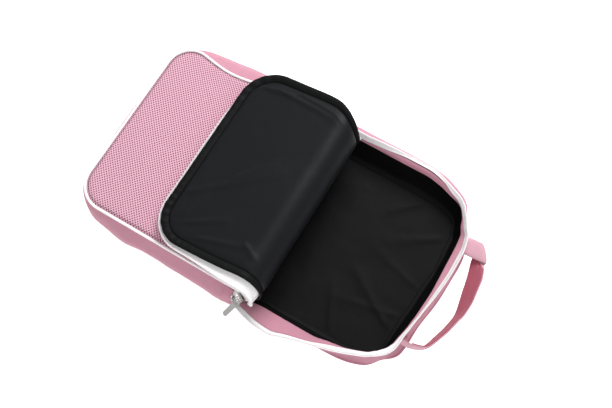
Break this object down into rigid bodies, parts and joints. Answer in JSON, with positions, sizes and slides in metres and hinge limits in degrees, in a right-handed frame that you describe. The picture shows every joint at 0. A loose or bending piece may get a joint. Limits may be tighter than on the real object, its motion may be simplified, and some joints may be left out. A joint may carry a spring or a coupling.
{
  "type": "paddle case",
  "caption": "Soft padded paddle case on its back, zipped flap folded open over a pink mesh front, with black lining, white piping and a fabric carry handle.",
  "frame": {"origin": "centre of the back panel's outer face, where the case lies", "axes": "+X across the width towards the side where the zip slider rests, +Y along the length towards the carry handle, +Z out of the front face"},
  "size_m": [0.2771, 0.4781, 0.0975],
  "materials": {
    "shell_cloth": "smooth coated weave",
    "spacer_mesh": "knitted spacer mesh",
    "lining_cloth": "fine plain weave",
    "binding_tape": "ribbed tape",
    "foam": "closed-cell foam",
    "piping": "covered cord",
    "zip_tape": "woven tape",
    "zip_coil": "nylon coil",
    "webbing": "firm woven webbing",
    "thread": "sewing thread",
    "plated_metal": "plated and tumbled"
  },
  "bodies": {
    "case": {"back_panel": "shell_cloth", "back_foam": "foam", "back_lining": "lining_cloth", "back_seam_binding": "binding_tape", "gusset_closed": "shell_cloth", "gusset_open": "shell_cloth", "gusset_lining_closed": "lining_cloth", "gusset_lining_open": "lining_cloth", "zip_facing": "shell_cloth", "body_zip_tape": "zip_tape", "body_zip_coil": "zip_coil", "zip_lead_tapes": "zip_tape", "zip_lead_coils": "zip_coil", "zip_stops": "plated_metal", "zip_end_tabs": "shell_cloth", "front_mesh": "spacer_mesh", "front_foam": "foam", "front_lining": "lining_cloth", "front_piping": "piping", "front_topstitch": "thread", "handle_anchors": "shell_cloth", "handle_bartacks": "thread"},
    "fold_strip": {"fold_mesh": "spacer_mesh", "fold_foam": "foam", "fold_lining": "lining_cloth", "fold_border": "binding_tape", "fold_piping": "piping", "fold_zip_tape": "zip_tape", "fold_zip_coil": "zip_coil"},
    "flap": {"flap_mesh": "spacer_mesh", "flap_foam": "foam", "flap_lining": "lining_cloth", "flap_border": "binding_tape", "flap_piping": "piping", "flap_zip_tape": "zip_tape", "flap_zip_coil": "zip_coil"},
    "slider": {"zip_slider": "plated_metal", "slider_bridge": "plated_metal"},
    "pull": {"pull_tab": "plated_metal"},
    "handle": {"handle_strap": "shell_cloth", "handle_webbing": "webbing"}
  },
  "joints": [
    {"name": "fold_swing", "type": "hinge", "parent": "case", "child": "fold_strip", "pos_m": [0, 0.03, 0.0518], "axis": [1, 0, 0], "range_deg": [-87, 0]},
    {"name": "flap_swing", "type": "hinge", "parent": "fold_strip", "child": "flap", "pos_m": [0, 0.03188, 0.08775], "axis": [1, 0, 0], "range_deg": [-106.5, 0]},
    {"name": "slider_travel", "type": "slide", "parent": "case", "child": "slider", "axis": [0, 1, 0], "range_m": [0, 0.11]},
    {"name": "pull_swing", "type": "hinge", "parent": "slider", "child": "pull", "pos_m": [0.12906, 0.0154, 0.04572], "axis": [0, -1, 0], "range_deg": [-15, 25]},
    {"name": "handle_swing", "type": "hinge", "parent": "case", "child": "handle", "pos_m": [0, 0.232, 0.022], "axis": [1, 0, 0], "range_deg": [-30, 85]}
  ],
  "couplings": [
    {"joint": "flap_swing", "follows": "fold_swing", "ratio": 1.224}
  ]
}
